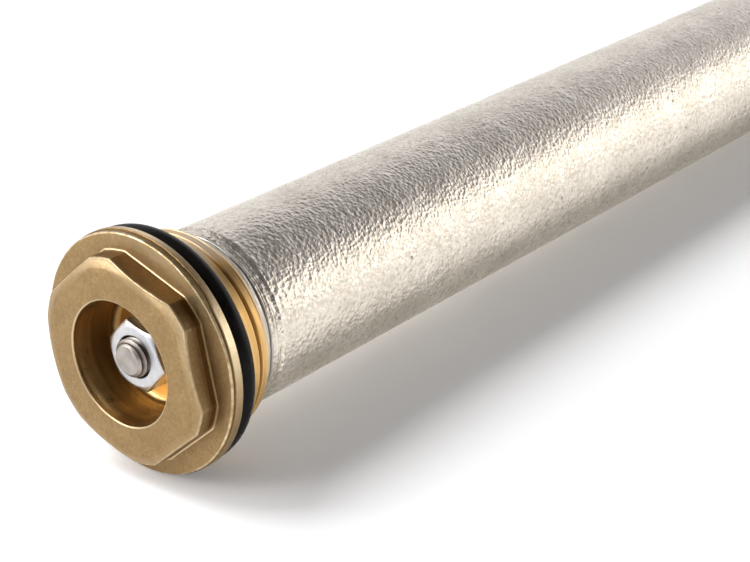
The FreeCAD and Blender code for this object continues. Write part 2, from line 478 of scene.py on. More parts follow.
@dataclass(frozen=True)
class TurnedBrass:
    """Turned brass with fine tool marks round the axis; a painted highlight turns it cream and painted
    shade turns it dark.
    """

    name: str = "turned_brass"
    metal: Triple = (0.88, 0.595, 0.255)
    shade: Triple = (0.72, 0.445, 0.165)
    # Colour of the painted highlight on the upper thread and the lead-in cone.
    highlight_cream: Triple = (0.97, 0.90, 0.76)
    # Dark colour of painted shade, in the thread's roots and on the end face.
    groove_and_shade: Triple = (0.16, 0.08, 0.03)
    gloss: tuple[float, float] = (0.34, 0.46)
    marks: float = 2600.0

    def make(self) -> bpy.types.Material:
        """Build the node material."""
        mat = NodeMaterial(self.name)
        mat.put(Metallic=1.0)
        bands = mat.noise(1.0, 3.0, 0.6, mat.stretched((700.0, 45.0, 45.0)))
        # Painted highlight turns the metal cream and rougher.
        rub_and_highlight = mat.fit(mat.wear_and_shading(), 0.0, 1.0)
        metal = mat.blend(mat.fit(bands, 0.35, 0.66), self.metal, self.shade)
        mat.paint_groove_shade(mat.blend(rub_and_highlight, metal, self.highlight_cream), self.groove_and_shade)
        mat.roughness(mat.sum("ADD", mat.mottled(500.0, *self.gloss), mat.sum("MULTIPLY", rub_and_highlight, 0.25)))
        tool = mat.noise(1.0, 2.0, 0.7, mat.stretched((self.marks, 60.0, 60.0)))
        mat.relief((mat.noise(400.0, 2.0), 0.03 * MM), (tool, 0.012 * MM))
        return mat.material


@dataclass(frozen=True)
class BlackRubber:
    """Moulded black rubber with a soft dull sheen."""

    body: Triple = (0.004, 0.0035, 0.003)
    dusty: Triple = (0.009, 0.0075, 0.0065)

    def make(self) -> bpy.types.Material:
        """Build the node material."""
        mat = NodeMaterial("black_rubber")
        mat.put(Metallic=0.0, Specular_IOR_Level=0.10)
        mat.colour(mat.blend(mat.fit(mat.noise(300.0, 4.0, 0.6), 0.4, 0.7), self.body, self.dusty))
        mat.roughness(mat.mottled(900.0, 0.24, 0.34))
        mat.relief((mat.noise(2600.0, 3.0, 0.6), 0.02 * MM))
        return mat.material


@dataclass(frozen=True)
class PlainMetal:
    """A smooth metal skin with soft blotches, and painted shade in its grooves and hollows."""

    name: str
    skin: Triple
    blotch: Triple
    # Dark colour of painted shade in grooves and hollows.
    groove_and_shade: Triple
    blotch_scale: float
    blotch_detail: float
    blotch_from: float
    gloss_scale: float
    gloss: tuple[float, float]
    grain: float
    grain_depth: float

    def make(self) -> bpy.types.Material:
        """Build the node material."""
        mat = NodeMaterial(self.name)
        mat.put(Metallic=1.0)
        blotches = mat.fit(mat.noise(self.blotch_scale, self.blotch_detail), self.blotch_from, 0.7)
        mat.paint_groove_shade(mat.blend(blotches, self.skin, self.blotch), self.groove_and_shade)
        mat.roughness(mat.mottled(self.gloss_scale, *self.gloss))
        mat.relief((mat.noise(self.grain, 3.0, 0.6), self.grain_depth))
        return mat.material


ZINC_PLATE = PlainMetal(
    name="zinc_plate", skin=(0.56, 0.57, 0.60), blotch=(0.68, 0.67, 0.66), groove_and_shade=(0.07, 0.06, 0.055),
    blotch_scale=600.0, blotch_detail=3.0, blotch_from=0.35, gloss_scale=900.0, gloss=(0.30, 0.42),
    grain=1600.0, grain_depth=0.015 * MM)
PLAIN_STEEL = PlainMetal(
    name="plain_steel", skin=(0.44, 0.41, 0.38), blotch=(0.31, 0.275, 0.245), groove_and_shade=(0.06, 0.05, 0.04),
    blotch_scale=500.0, blotch_detail=4.0, blotch_from=0.4, gloss_scale=1200.0, gloss=(0.34, 0.48),
    grain=2200.0, grain_depth=0.02 * MM)


@dataclass(frozen=True)
class CastMagnesium:
    """Cast skin of the bar: crinkled, bright on the high spots, with scattered pits."""

    bright: Triple = (0.93, 0.86, 0.745)
    grey: Triple = (0.78, 0.715, 0.61)
    # Colour of the pits, and of the painted shade in the band's scores on the cast skin.
    pit_and_shade: Triple = (0.34, 0.30, 0.25)
    freckle: Triple = (0.45, 0.395, 0.31)
    crinkle: float = 1180.0
    crinkle_depth: float = 0.12 * MM
    fold: float = 820.0
    fold_depth: float = 0.175 * MM

    def make(self) -> bpy.types.Material:
        """Build the node material."""
        mat = NodeMaterial("cast_magnesium")
        mat.put(Metallic=1.0)
        skin = mat.blend(mat.fit(mat.noise(90.0, 4.0, 0.6), 0.38, 0.66), self.bright, self.grey)
        spots = mat.fit(mat.cells(210.0), 0.09, 0.045)
        speck = mat.sum("MULTIPLY", spots, mat.fit(mat.noise(120.0, 2.0), 0.52, 0.60))
        freckles = mat.fit(mat.noise(1000.0, 3.0, 0.65), 0.47, 0.70, 0.0, 0.60)
        skin = mat.blend(freckles, skin, self.freckle)
        skin = mat.blend(speck, skin, self.pit_and_shade)
        # Painted shade in the band's scores turns the skin dark.
        mat.paint_groove_shade(skin, self.pit_and_shade)
        mat.roughness(mat.mottled(420.0, 0.22, 0.38))
        dimples = mat.cells(self.crinkle, 0.15)
        fold = mat.noise(self.fold, 3.0, 0.62)
        mat.relief((fold, self.fold_depth), (dimples, self.crinkle_depth),
                   (mat.sum("SUBTRACT", 1.0, speck), 0.25 * MM))
        return mat.material


@dataclass(frozen=True)
class MachinedMagnesium:
    """Machined magnesium: grey-white with tool marks, with painted shade in the scores. The marks' scales
    are by axis.
    """

    name: str
    shade: Triple
    marks: Triple
    marks_from: tuple[float, float]
    marks_depth: float
    gloss_scale: float
    gloss: tuple[float, float]
    grain: float
    grain_depth: float
    metal: Triple = (0.80, 0.765, 0.71)
    # Dark colour of the painted contact shadow and the painted shade in the band's scores.
    groove_and_shade: Triple = (0.10, 0.085, 0.07)

    def make(self) -> bpy.types.Material:
        """Build the node material."""
        mat = NodeMaterial(self.name)
        mat.put(Metallic=1.0)
        marks = mat.noise(1.0, 3.0, 0.6, mat.stretched(self.marks))
        mat.paint_groove_shade(mat.blend(mat.fit(marks, *self.marks_from), self.metal, self.shade), self.groove_and_shade)
        mat.roughness(mat.mottled(self.gloss_scale, *self.gloss))
        mat.relief((marks, self.marks_depth), (mat.noise(self.grain, 3.0, 0.6), self.grain_depth))
        return mat.material


TURNED_MAGNESIUM = MachinedMagnesium(
    name="turned_magnesium", shade=(0.50, 0.465, 0.405), marks=(1000.0, 210.0, 210.0),
    marks_from=(0.42, 0.62), marks_depth=0.22 * MM, gloss_scale=500.0, gloss=(0.30, 0.44),
    grain=1100.0, grain_depth=0.10 * MM)
SAWN_MAGNESIUM = MachinedMagnesium(
    name="sawn_magnesium", shade=(0.60, 0.565, 0.50), marks=(100.0, 60.0, 1500.0),
    marks_from=(0.38, 0.66), marks_depth=0.05 * MM, gloss_scale=400.0, gloss=(0.36, 0.50),
    grain=1500.0, grain_depth=0.03 * MM)


def dress(piece: bpy.types.Object, node: str, slot: str, *materials: bpy.types.Material) -> None:
    """Give a piece its finishes and tie it to the frame.

    Args:
        piece: The new object.
        node: The solid that it stands for.
        slot: The record's material slot; not used.
        materials: One finish for each coat.
    """
    for material in materials:
        piece.data.materials.append(material)
    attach(piece, ROOT_BODY)
    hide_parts(node)
    log.info("%s: %d faces", piece.name, len(piece.data.polygons))


@dataclass
class Plug:
    """Brass plug: forged hexagon head and flange, turned recess, relief, thread and lead-in cone."""

    head_flats: float = 39.0 * MM
    head_height: float = 5.0 * MM
    head_corner_radius: float = 21.05 * MM
    head_turn: float = math.radians(12.4)
    face_radius: float = 19.0 * MM
    corner_drop: float = 0.95 * MM
    face_dome: float = 0.12 * MM
    head_edge: float = 0.42 * MM
    root_fillet: float = 0.35 * MM
    # Dark scale at the head's root, deepened into painted shade on the flats in shadow: its reach and
    # strength.
    scale_and_shade_reach: float = 2.0 * MM
    root_scale_and_shade: float = 0.75
    bevel_width: float = 1.6 * MM
    # Painted shade on the hexagon's upper flats.
    upper_painted_shade: float = 0.55
    recess_radius: float = 12.7 * MM
    recess_depth: float = 10.6 * MM
    recess_draft: float = 0.6 * MM
    recess_edge: float = 0.42 * MM
    recess_fillet: float = 1.5 * MM
    flange_thickness: float = 2.8 * MM
    forged_step: float = 0.25 * MM
    forged_width: float = 0.6 * MM
    rim_edge: float = 0.40 * MM
    land_edge: float = 0.25 * MM
    relief_radius: float = 19.45 * MM
    relief_flank: float = 0.8 * MM
    thread_length: float = 5.0 * MM
    lead_drop: float = 1.45 * MM
    stud_hole_radius: float = 4.25 * MM
    thread: PipeThread = PipeThread(pitch=2.309 * MM, depth=0.95 * MM, crest=1.40 * MM, half_angle=24.0,
                                    rounding=0.20 * MM, start=1.51 * MM)
    thread_radius: float = 20.955 * MM
    columns_per_flat: int = 64
    thread_rings: int = 92
    skin_depth: float = 0.05 * MM
    # Painted shade on the recess floor, deepest on one side.
    recess_floor_shade: Patch = Patch(75.0, 50.0, 0.45)
    recess_shade: Patch = Patch(105.0, 32.0)
    # Painted highlights on the face's bevel.
    bevel_painted_highlight: tuple[Patch, Patch] = (Patch(12.0, 22.0), Patch(-52.0, 24.0))
    # Painted highlight on the flange front.
    front_painted_highlight: Patch = Patch(-24.0, 26.0, 0.32)
    # Painted highlights on the land, at the side and on top.
    land_painted_highlight: Patch = Patch(-64.0, 19.0)
    land_top_painted_highlight: Patch = Patch(-3.0, 19.0, 0.90)
    # Painted highlight on the upper thread, and a narrow patch of painted shade on it.
    thread_painted_highlight: Patch = Patch(-14.0, 24.0, 0.5)
    thread_painted_shade: Patch = Patch(-38.0, 9.0, 0.55)

    def __post_init__(self) -> None:
        """Read the plug's reach from the frame."""
        low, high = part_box("plug")
        self.face_x = low.x
        self.end_x = high.x
        self.flange_radius = high.y
        self.front_x = self.face_x + self.head_height
        self.seat_x = self.front_x + self.flange_thickness
        self.floor_x = self.face_x + self.recess_depth
        self.corner = math.acos(self.head_flats / 2.0 / self.head_corner_radius)

    def angles(self) -> np.ndarray:
        """Column angles, closer together beside the head's corners."""
        fine = np.linspace(-math.pi / 6.0, math.pi / 6.0, 2001)
        weight = 1.0 + 5.0 * np.exp(-((np.abs(fine) - self.corner) / math.radians(1.1)) ** 2)
        travelled = np.concatenate([[0.0], np.cumsum((weight[1:] + weight[:-1]) / 2.0)])
        wanted = np.linspace(0.0, travelled[-1], self.columns_per_flat, endpoint=False)
        offsets = np.interp(wanted, travelled, fine)
        flats = [self.head_turn + math.radians(30.0 + 60.0 * k) for k in range(6)]
        return np.concatenate([flat + offsets for flat in flats])

    def off_flat(self, angles: np.ndarray) -> np.ndarray:
        """How far each angle is from the middle of its flat."""
        sector = math.radians(60.0)
        return (angles - self.head_turn) % sector - sector / 2.0

    def head_radius(self, angles: np.ndarray, inset: float = 0.0) -> np.ndarray:
        """Radius of the head's outline at each angle.

        Args:
            angles: Angles from straight up towards +Y.
            inset: How far inside the outline.

        Returns:
            The radius at each angle.
        """
        flat = (self.head_flats / 2.0 - inset) / np.cos(self.off_flat(angles))
        round_part = np.full_like(flat, self.head_corner_radius - inset)
        return soft_min(flat, round_part, 0.07 * MM)

    def fall(self, r: np.ndarray) -> np.ndarray:
        """How far the head's face has fallen at a radius: a slight dome, then the bevel of the corners."""
        beyond = r - self.face_radius
        bevel = (beyond + np.hypot(beyond, 0.12 * MM)) / 2.0
        dome = np.clip((r - self.recess_radius) / (self.face_radius - self.recess_radius), 0.0, 1.0) ** 2
        slope = self.corner_drop / (self.head_corner_radius - self.face_radius)
        return self.face_dome * dome + bevel * slope

    def corner_rub(self, angles: np.ndarray) -> np.ndarray:
        """How much wear the upright edges beside the head's corners show, at each angle."""
        beside = np.abs(self.off_flat(angles)) - self.corner
        return 0.12 * np.exp(-(beside / math.radians(0.7)) ** 2)

    @staticmethod
    def patchy(angles: np.ndarray) -> np.ndarray:
        """Uneven strength of wear and painted highlight along an edge, from 0.25 to 1."""
        waves = ((1.0, 5.0, 0.4), (1.0, 13.0, 1.9), (1.0, 29.0, 4.0), (1.0, 61.0, 2.2), (1.0, 97.0, 0.0))
        return np.clip(0.62 + 0.16 * wavy(angles, waves), 0.25, 1.0)

    @staticmethod
    def between(angles: np.ndarray, low: float, high: float, soft: float) -> np.ndarray:
        """1 between two angles and 0 outside them, with soft ends; all three values are degrees."""
        off = (np.degrees(angles) + 180.0) % 360.0 - 180.0
        rise = np.clip((off - low) / soft + 0.5, 0.0, 1.0)
        end = np.clip((high - off) / soft + 0.5, 0.0, 1.0)
        return (3.0 * rise ** 2 - 2.0 * rise ** 3) * (3.0 * end ** 2 - 2.0 * end ** 3)

    def upper(self, angles: np.ndarray) -> np.ndarray:
        """Share of the dull upper part at each angle, from 0 to 1, where the forged side reaches further
        and the hexagon's flats carry painted shade.
        """
        return self.between(angles, -49.5, 88.0, 9.0)

    def scale_and_shade_share(self, angles: np.ndarray) -> np.ndarray:
        """How much dark scale and painted shade lie at the root of the head, at each angle."""
        thick = self.between(angles, -114.0, -41.0, 4.0)
        thin = self.between(angles, -41.0, 20.0, 4.0)
        return 0.4 + 0.6 * thick - 0.32 * thin

    def build(self) -> bpy.types.Object:
        """Build the plug from its hole outwards and round to the hole again."""
        surface = TurnedSurface(self.angles())
        self._add_recess(surface)
        self._add_head(surface)
        self._add_flange(surface)
        self._add_thread(surface)
        shift = self._skin_waves(surface)
        piece = surface.build("plug_brass", closed=True, shift=shift)
        # The recess wall wears a darker copy of the turned brass, as painted shade in the recess.
        recess = TurnedBrass(name="recess_brass_painted_shade", metal=(0.72, 0.49, 0.215), shade=(0.52, 0.33, 0.125),
                             groove_and_shade=(0.14, 0.07, 0.025), gloss=(0.26, 0.38))
        dress(piece, "plug", "brass", ForgedBrass().make(), TurnedBrass().make(), recess.make())
        return piece

    def _add_recess(self, surface: TurnedSurface) -> None:
        """Hole, floor, wall and mouth of the nut recess, with painted shade on the floor and the wall."""
        surface.coat = Coat.THIRD
        hole = self.stud_hole_radius
        bevel = 0.25 * MM
        surface.ring(self.end_x, hole)
        surface.run(self.floor_x + bevel, hole, 4)
        surface.run(self.floor_x, hole + bevel, 1)
        fillet = self.recess_fillet
        low_radius = self.recess_radius - self.recess_draft
        # Painted shade on the floor and its fillet.
        floor_shade = 0.30 + self.recess_floor_shade.at(surface.angles)
        surface.run(self.floor_x, low_radius - fillet, 6, hold=0.1 * MM, wear_and_shading=-floor_shade)
        surface.bend(self.floor_x - fillet, low_radius - fillet, fillet, 0.0, 90.0, 10, wear_and_shading=-floor_shade)
        edge = self.recess_edge
        shaded = self.recess_shade.at(surface.angles)
        middle_x = (self.floor_x + self.face_x) / 2.0
        surface.run(middle_x, self.recess_radius - self.recess_draft * 0.4, 6, wear_and_shading=-0.40 * shaded)
        surface.run(self.face_x + edge, self.recess_radius, 6, wear_and_shading=-0.10 * shaded)
        surface.coat = Coat.MAIN
        # The mouth's edge, pale from wear and painted highlight.
        surface.bend(self.face_x + edge, self.recess_radius + edge, edge, -90.0, -180.0, 7, wear_and_shading=0.6)

    def _add_head(self, surface: TurnedSurface) -> None:
        """Crowned face, hexagon side and the fillet at its root; painted highlights lie on the face's bevel
        and the fillet, painted shade on the upper flats, and dark scale with painted shade at the root.
        """
        angles = surface.angles
        inner = self.recess_radius + self.recess_edge
        edge = self.head_edge
        rim = self.head_radius(angles, edge)
        middle = rim - self.bevel_width
        for share in (0.03, 0.1, 0.25, 0.45, 0.65, 0.85, 1.0):
            r = inner + (middle - inner) * share
            surface.ring(self.face_x + self.fall(r), r)
        # Painted highlight on the bevel, besides slight edge wear.
        pale = sum(patch.at(angles) for patch in self.bevel_painted_highlight)
        for share in np.linspace(0.0, 1.0, 9)[1:]:
            r = middle + (rim - middle) * share
            surface.ring(self.face_x + self.fall(r), r, wear_and_shading=0.12 * share + 0.22 * share ** 0.5 * pale)
        rim_x = self.face_x + self.fall(rim) + edge
        outline = self.head_radius(angles)
        # The face's rounded edge, pale from wear and painted highlight.
        for k in range(1, 8):
            turn = math.radians(90.0 * k / 7)
            r = rim + (outline - rim) * math.sin(turn)
            rub_and_highlight = 0.12 + 0.38 * math.sin(math.pi * k / 7) * self.patchy(angles)
            surface.ring(rim_x - edge * math.cos(turn), r, wear_and_shading=rub_and_highlight)
        fillet = self.root_fillet
        # Wear at the corners, and painted shade on the upper flats.
        rub_and_shading = self.corner_rub(angles) - self.upper_painted_shade * self.upper(angles)
        scale_and_shade_start = self.front_x - self.scale_and_shade_reach
        # Dark scale at the root, with painted shade where the flats lie in shadow.
        scale = self.root_scale_and_shade * self.scale_and_shade_share(angles)
        surface.run(scale_and_shade_start - 0.5 * MM, outline, 5, hold=0.12 * MM, wear_and_shading=rub_and_shading)
        surface.run(scale_and_shade_start + 0.4 * MM, outline, 2, wear_and_shading=rub_and_shading - 0.35 * scale)
        surface.run(self.front_x - fillet, outline, 4, wear_and_shading=rub_and_shading - scale)
        # The root fillet carries a painted highlight line over the scale and shade.
        for k in range(1, 6):
            turn = math.radians(90.0 * k / 5)
            surface.ring(self.front_x - fillet + fillet * math.sin(turn),
                         outline + fillet * (1.0 - math.cos(turn)), wear_and_shading=1.05 * k / 5 - scale)

    def _add_flange(self, surface: TurnedSurface) -> None:
        """Flange front, forged rim, parting line, turned land and seating face, with painted highlights on
        the front and the land.
        """
        angles = surface.angles
        forged = self.flange_radius - self.forged_step
        edge = self.rim_edge
        patchy, upper, ragged = self.patchy(angles), self.upper(angles), self._ragged(angles)
        # Painted highlight on the flange front.
        surface.run(self.front_x, forged - edge, 8, hold=0.12 * MM, wear_and_shading=self.front_painted_highlight.at(angles))
        # The rim's edge, pale from wear and painted highlight.
        for k in range(1, 7):
            turn = math.radians(180.0 - 90.0 * k / 6)
            surface.ring(self.front_x + edge + edge * math.cos(turn), forged - edge + edge * math.sin(turn),
                         wear_and_shading=0.95 * math.sin(math.pi * k / 7) * patchy)
        notch = 0.08 * MM
        line = self.front_x + edge + 0.12 * MM + self.forged_width * upper
        line = line + (ragged + 1.0) * (0.07 + 0.08 * upper) * MM
        surface.run(line - notch, forged, 3)
        surface.ring(line, forged - 0.4 * notch, wear_and_shading=-0.6)
        surface.ring(line + notch, forged - 1.6 * notch, wear_and_shading=-1.0)
        surface.ring(line + 2.0 * notch, forged - 1.2 * notch, wear_and_shading=-1.0)
        surface.ring(line + 3.0 * notch, self.flange_radius - 0.08 * MM, wear_and_shading=-0.2)
        # Painted highlights on the land, besides slight wear.
        rub_and_shading = 0.12 + (0.95 + 0.14 * ragged) * self.land_painted_highlight.at(angles) + self.land_top_painted_highlight.at(angles)
        surface.ring(line + 4.5 * notch, self.flange_radius, wear_and_shading=rub_and_shading)
        land = self.land_edge
        surface.run(self.seat_x - land, self.flange_radius, 6, hold=0.1 * MM, wear_and_shading=rub_and_shading)
        surface.bend(self.seat_x - land, self.flange_radius - land, land, 90.0, 0.0, 5, wear_and_shading=0.4)
        surface.coat = Coat.SECOND
        surface.run(self.seat_x, self.relief_radius + 0.3 * MM, 4, hold=0.1 * MM)
        surface.bend(self.seat_x + 0.3 * MM, self.relief_radius + 0.3 * MM, 0.3 * MM, 180.0, 270.0, 4)

    @staticmethod
    def _ragged(angles: np.ndarray) -> np.ndarray:
        """A wandering line round the flange, from -1 to 1."""
        waves = ((1.0, 3.0, 0.6), (0.7, 7.0, 2.1), (0.6, 17.0, 0.0), (0.5, 41.0, 1.0), (0.35, 83.0, 5.0))
        return wavy(angles, waves) / 2.6

    def _add_thread(self, surface: TurnedSurface) -> None:
        """Relief floor, its flank, the helical thread, the lead-in cone and the end face, with painted
        highlights on the thread and the cone, and painted shade in the thread's roots, in a patch on the
        thread and on the end face.
        """
        surface.run(-self.relief_flank, self.relief_radius, 6)
        # Painted shade in the thread's roots, faded out towards the top.
        below = 1.0 - 0.8 * np.clip(2.5 * np.cos(surface.angles + 0.1) - 1.4, 0.0, 1.0)
        # A painted highlight on the upper thread, and a narrow patch of painted shade.
        pale, painted_shade = self.thread_painted_highlight.at(surface.angles), self.thread_painted_shade.at(surface.angles)
        cone = self.end_x - self.thread_length
        for share in np.linspace(0.0, 1.0, self.thread_rings + 1)[1:]:
            x = -self.relief_flank + (self.end_x + self.relief_flank) * share
            rise = (x + self.relief_flank) / self.relief_flank * (self.thread_radius - self.relief_radius)
            blank = min(self.relief_radius + max(rise, 0.0), self.thread_radius)
            if x > self.thread_length:
                blank = self.thread_radius - self.lead_drop * (x - self.thread_length) / cone
            past = min(max((x - self.thread_length + 0.2 * MM) / (0.9 * MM), 0.0), 1.0)
            begun = min(max((x - 1.2 * MM) / (0.7 * MM), 0.0), 1.0)
            cut = self.thread.cut(surface.spread(x), surface.angles) * (1.0 - 0.6 * past) * begun
            radius = soft_min(self.thread_radius - cut, surface.spread(blank), 0.10 * MM)
            groove_shade = np.clip((blank - radius) / self.thread.depth, 0.0, 1.0) * below
            rub_and_shading = pale - 0.85 * groove_shade - painted_shade * begun
            # Past the thread's end the lead-in cone takes a painted highlight.
            surface.ring(x, radius, wear_and_shading=(0.65 - painted_shade) * past + rub_and_shading * (1.0 - past))
        # Painted shade at the plug's end beside the bar, and on the end face.
        surface.ring(self.end_x, surface.rings[-1].r - 0.1 * MM, wear_and_shading=-0.3)
        surface.run(self.end_x, self.stud_hole_radius + 0.3 * MM, 6, wear_and_shading=-0.6)

    def _skin_waves(self, surface: TurnedSurface) -> np.ndarray:
        """A slight unevenness of the forged skin, as a move of each point towards the metal."""
        places = surface.points()
        forged = np.array([ring.coat is Coat.MAIN for ring in surface.rings])
        wave = noise_field(places, 190.0, 3.1) * 0.6 + noise_field(places, 520.0, 7.7) * 0.4
        depth = np.where(forged[:, None], self.skin_depth * (wave - 1.0), 0.0)
        centre = np.array([self.seat_x, 0.0, 0.0])
        outward = places - centre
        outward /= np.linalg.norm(outward, axis=-1, keepdims=True)
        return outward * depth[..., None]


@dataclass
class SealingRing:
    """Rubber O-ring with a fine mould line round its outside."""

    section: float = 5.0 * MM
    columns: int = 256
    steps: int = 40
    mould_line: float = 0.05 * MM

    def build(self) -> bpy.types.Object:
        """Build the ring round its own section."""
        low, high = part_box("sealing_ring")
        centre_x = (low.x + high.x) / 2.0
        centre_r = high.y - self.section / 2.0
        surface = TurnedSurface(even_angles(self.columns))
        for k in range(self.steps):
            turn = TAU * k / self.steps
            edge = self.mould_line * math.exp(-((turn - math.pi / 2.0) / 0.09) ** 2)
            reach = self.section / 2.0 - self.mould_line + edge
            surface.ring(centre_x + reach * math.cos(turn), centre_r + reach * math.sin(turn))
        piece = surface.build("sealing_ring_rubber", closed=True)
        dress(piece, "sealing_ring", "rubber", BlackRubber().make())
        return piece


@dataclass
class HexNut:
    """M8 nut with bevelled corners, countersunk mouths and a real thread."""

    flats: float = 13.0 * MM
    turn: float = math.radians(19.0)
    face_radius: float = 6.1 * MM
    bevel_rise: float = 0.75 * MM
    mouth_radius: float = 4.35 * MM
    bore_radius: float = 4.04 * MM
    thread_depth: float = 0.5 * MM
    columns_per_flat: int = 40

    def build(self) -> bpy.types.Object:
        """Build the nut from its bore out and round to the bore again."""
        low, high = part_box("hex_nut")
        surface = TurnedSurface(self.angles())
        outline = self.outline(surface.angles)
        slope = self.bevel_rise / (self.flats / 2.0 / math.cos(math.pi / 6.0) - self.face_radius)
        rise = (outline - self.face_radius) * slope
        soft = 0.08 * MM
        thread = PipeThread(1.25 * MM, self.thread_depth, 0.16 * MM, 30.0, 0.1 * MM, 0.0)
        # Painted shade in the bore and its mouths.
        surface.ring(high.x, self.mouth_radius, wear_and_shading=-0.9)
        count = 60
        for k in range(count + 1):
            x = high.x + (low.x - high.x) * k / count
            near_mouth = self.mouth_radius - min(high.x - x, x - low.x)
            wall = self.bore_radius + thread.cut(surface.spread(x), surface.angles) * 0.35
            surface.ring(x, np.maximum(wall, near_mouth), wear_and_shading=-0.9)
        surface.run(low.x, self.mouth_radius + 0.06 * MM, 1, wear_and_shading=-0.8)
        surface.run(low.x, self.mouth_radius + 0.16 * MM, 1)
        surface.run(low.x, self.face_radius - soft, 5)
        surface.ring(low.x + soft * 0.15, self.face_radius, wear_and_shading=0.5)
        surface.ring(low.x + rise * 0.5, self.face_radius + (outline - self.face_radius) * 0.5)
        surface.ring(low.x + rise, outline - soft * 0.5, wear_and_shading=0.5)
        surface.ring(low.x + rise + soft, outline, wear_and_shading=0.5)
        surface.run(high.x - rise - soft, outline, 6)
        surface.ring(high.x - rise, outline - soft * 0.5)
        surface.ring(high.x - soft * 0.15, self.face_radius)
        surface.run(high.x, self.face_radius - soft, 1)
        piece = surface.build("hex_nut_zinc", closed=True)
        dress(piece, "hex_nut", "zinc", ZINC_PLATE.make())
        return piece

    def angles(self) -> np.ndarray:
        """Column angles, closer together at the corners."""
        half = math.pi / 6.0
        even = np.linspace(-1.0, 1.0, self.columns_per_flat, endpoint=False)
        offsets = half * np.sign(even) * (1.0 - (1.0 - np.abs(even)) ** 1.5)
        flats = [self.turn + math.radians(30.0 + 60.0 * k) for k in range(6)]
        return np.concatenate([flat + offsets for flat in flats])

    def outline(self, angles: np.ndarray) -> np.ndarray:
        """Radius of the hexagon at each angle, with its corners just rounded."""
        sector = math.radians(60.0)
        off = (angles - self.turn) % sector - sector / 2.0
        flat = self.flats / 2.0 / np.cos(off)
        corner = self.flats / 2.0 / math.cos(math.pi / 6.0) - 0.06 * MM
        return soft_min(flat, np.full_like(flat, corner), 0.06 * MM)


@dataclass
class CoreStud:
    """Steel core of the bar, threaded M8 where it passes through the plug and the nut."""

    radius: float = 4.0 * MM
    bevel: float = 1.1 * MM
    threaded: float = 16.0 * MM
    columns: int = 96
    pitch: float = 1.25 * MM
    thread_depth: float = 0.65 * MM

    def build(self) -> bpy.types.Object:
        """Build the stud from its tip to the bar's sawn end."""
        low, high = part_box("core_stud")
        surface = TurnedSurface(even_angles(self.columns))
        thread = PipeThread(self.pitch, self.thread_depth, 0.16 * MM, 30.0, 0.12 * MM, low.x)
        tip = self.radius - self.bevel
        surface.ring(low.x, 0.4 * MM)
        surface.run(low.x, tip - 0.15 * MM, 4)
        surface.ring(low.x + 0.04 * MM, tip)
        steps = 180
        for k in range(1, steps + 1):
            x = low.x + self.threaded * k / steps
            cone = min(tip + (x - low.x), self.radius)
            cut = thread.cut(surface.spread(x), surface.angles)
            radius = soft_min(self.radius - cut, surface.spread(cone), 0.06 * MM)
            # Painted shade in the thread's roots.
            surface.ring(x, radius, wear_and_shading=-0.9 * np.clip((cone - radius) / self.thread_depth, 0.0, 1.0))
        surface.ring(low.x + self.threaded + 0.6 * MM, self.radius)
        surface.run(high.x, self.radius, 12)
        surface.run(high.x, 0.4 * MM, 4)
        piece = surface.build("core_stud_steel", closed=False)
        dress(piece, "core_stud", "steel", PLAIN_STEEL.make())
        return piece


